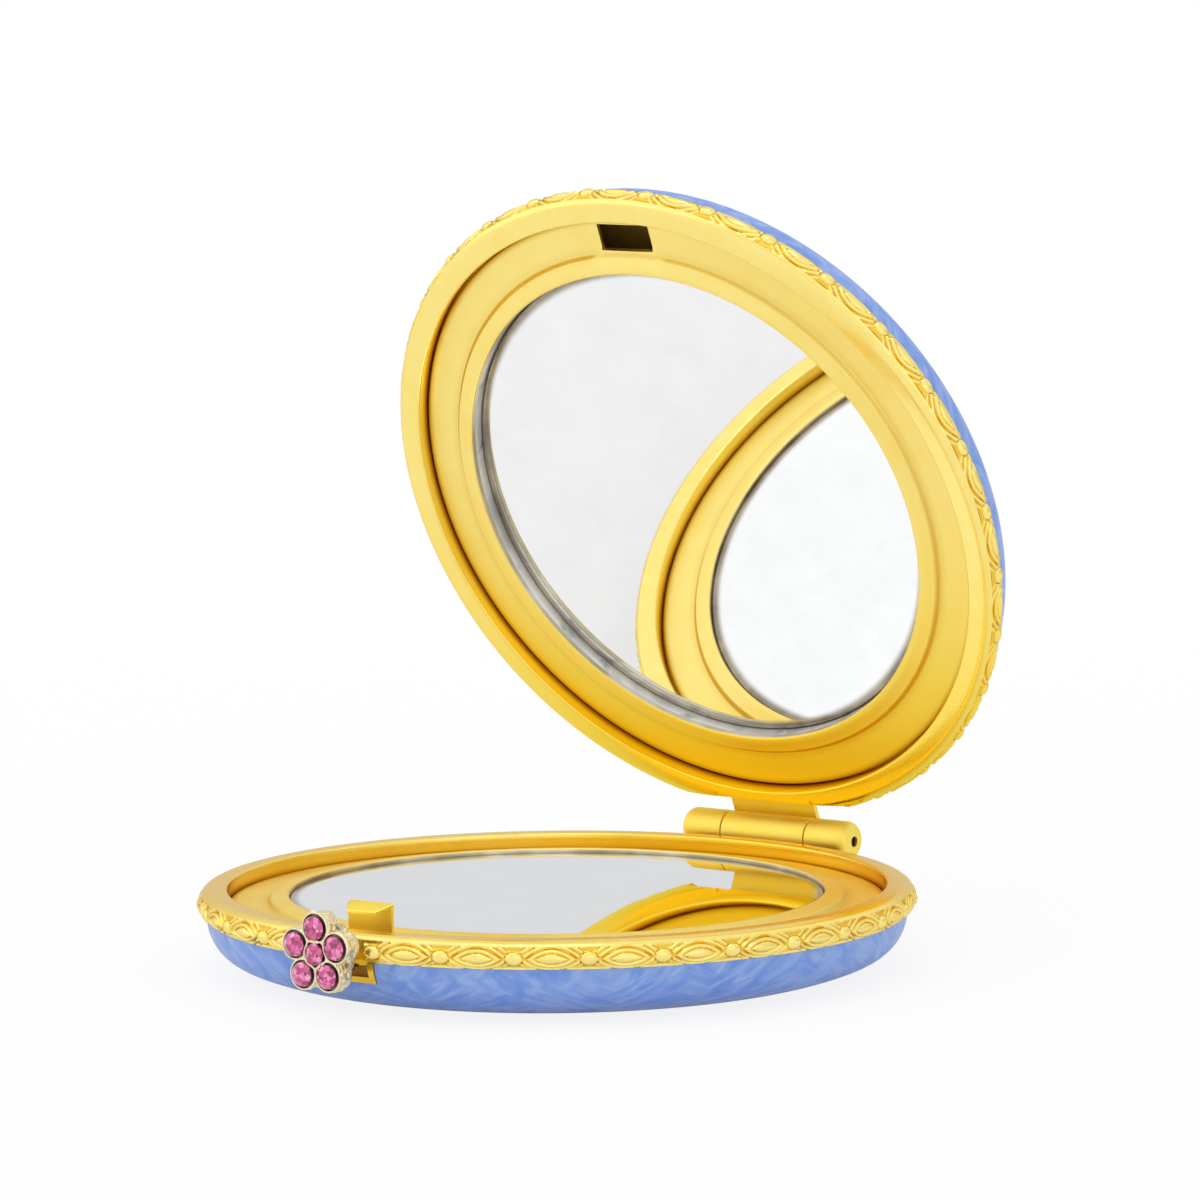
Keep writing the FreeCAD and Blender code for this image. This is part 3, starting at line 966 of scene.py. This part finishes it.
# Floor, light and camera
def pale_floor():
    f = new_finish("pale floor")
    where = f.node("ShaderNodeTexCoord", output=3)
    away = f.node("ShaderNodeVectorMath", {"operation": "LENGTH"}, {0: where}, 1)
    fade = f.limit(away, 0.09, 0.30)
    paper = f.noise(f.place(), 0.03, 2)
    tone = f.mix(paper, (0.90, 0.90, 0.905), (0.92, 0.92, 0.92))
    diffuse = f.node("ShaderNodeBsdfDiffuse", None, {"Color": tone})
    glow = f.node("ShaderNodeEmission", None, {"Color": (1, 1, 1, 1), "Strength": 1.0})
    path = f.node("ShaderNodeLightPath")
    seen = f.math("MAXIMUM", path, 0.5 * Wire(f, path.socket.node.outputs["Is Glossy Ray"]))
    paper_white = f.node("ShaderNodeMixShader", None, {0: seen * 0.86, 1: diffuse, 2: glow})
    clear = f.node("ShaderNodeBsdfTransparent")
    mixed = f.node("ShaderNodeMixShader", None, {0: fade, 1: paper_white, 2: clear})
    f.node("ShaderNodeOutputMaterial", None, {"Surface": mixed})
    return f.owner


floor_radius = 0.32
floor_bm = bmesh.new()
bmesh.ops.create_circle(floor_bm, cap_ends=True, segments=96, radius=floor_radius)
floor_mesh = bpy.data.meshes.new("floor")
floor_bm.to_mesh(floor_mesh)
floor_bm.free()
floor = bpy.data.objects.new("floor", floor_mesh)
floor.data.materials.append(pale_floor())
bpy.context.collection.objects.link(floor)


def white_room():
    world = bpy.data.worlds.new("white room")
    bpy.context.scene.world = world
    f = Finish(world)
    path = f.node("ShaderNodeLightPath")
    ray = {name: Wire(f, path.socket.node.outputs[name])
           for name in ("Is Camera Ray", "Is Glossy Ray", "Is Transmission Ray")}
    seen = f.math("MAXIMUM", ray["Is Camera Ray"], ray["Is Transmission Ray"])
    heading = f.node("ShaderNodeTexCoord", output=0)
    parts = f.node("ShaderNodeSeparateXYZ", None, {0: heading})
    toward_back = Wire(f, parts.socket.node.outputs[1])
    height = Wire(f, parts.socket.node.outputs[2])
    level = f.mix(f.limit(toward_back, -0.1, 0.6), (1.0, 1.0, 1.0), (0.74, 0.745, 0.755))
    glow = f.mix(f.limit(height, 0.08, 0.6), level, (0.88, 0.88, 0.885))
    glow = f.mix(f.limit(0 - height, 0.0, 0.2), glow, (1.0, 1.0, 1.0))
    room = f.node("ShaderNodeBackground", None, {"Color": (1, 1, 1, 1), "Strength": 0.84})
    shine = f.node("ShaderNodeBackground", None, {"Color": glow, "Strength": 1.0})
    white = f.node("ShaderNodeBackground", None, {"Color": (1, 1, 1, 1), "Strength": 1.0})
    lit = f.node("ShaderNodeMixShader", None, {0: ray["Is Glossy Ray"], 1: room, 2: shine})
    whole = f.node("ShaderNodeMixShader", None, {0: seen, 1: lit, 2: white})
    f.node("ShaderNodeOutputWorld", None, {"Surface": whole})


white_room()


lamp_target = Vector((0, 0, 0.03))


def soft_lamp(name, place, size, power):
    lamp = bpy.data.lights.new(name, "AREA")
    lamp.shape = "DISK"
    lamp.size = size
    lamp.energy = power
    thing = bpy.data.objects.new(name, lamp)
    thing.location = place
    thing.rotation_euler = (lamp_target - Vector(place)).to_track_quat("-Z", "Y").to_euler()
    bpy.context.collection.objects.link(thing)


soft_lamp("key lamp", (-0.62, -0.50, 0.72), 1.8, 2.4)
soft_lamp("fill lamp", (0.80, -0.60, 0.55), 1.6, 1.2)
soft_lamp("top lamp", (0.10, -0.20, 1.0), 0.4, 0.9)
soft_lamp("back lamp", (0.30, 0.75, 0.85), 1.6, 0.6)

azimuth, elevation, roll = (math.radians(a) for a in (35.91, 6.78, -0.53))
distance, slide, lift = 683.22, -4.12, -35.79
flat = math.cos(elevation)
back = Vector((math.sin(azimuth) * flat, -math.cos(azimuth) * flat, math.sin(elevation)))
level = Vector((math.cos(azimuth), math.sin(azimuth), 0))
upright = back.cross(level)
right = level * math.cos(roll) + upright * math.sin(roll)
over = upright * math.cos(roll) - level * math.sin(roll)
lens = bpy.data.cameras.new("camera")
lens.sensor_width = 36.0
lens.lens = 210.0
lens.clip_start = 0.01
camera = bpy.data.objects.new("camera", lens)
camera.matrix_world = Matrix.Translation((back * distance - right * slide - over * lift) * MM) @ Matrix(
    (right, over, back)).transposed().to_4x4()
bpy.context.collection.objects.link(camera)
bpy.context.scene.camera = camera
bpy.context.scene.view_settings.view_transform = "Standard"
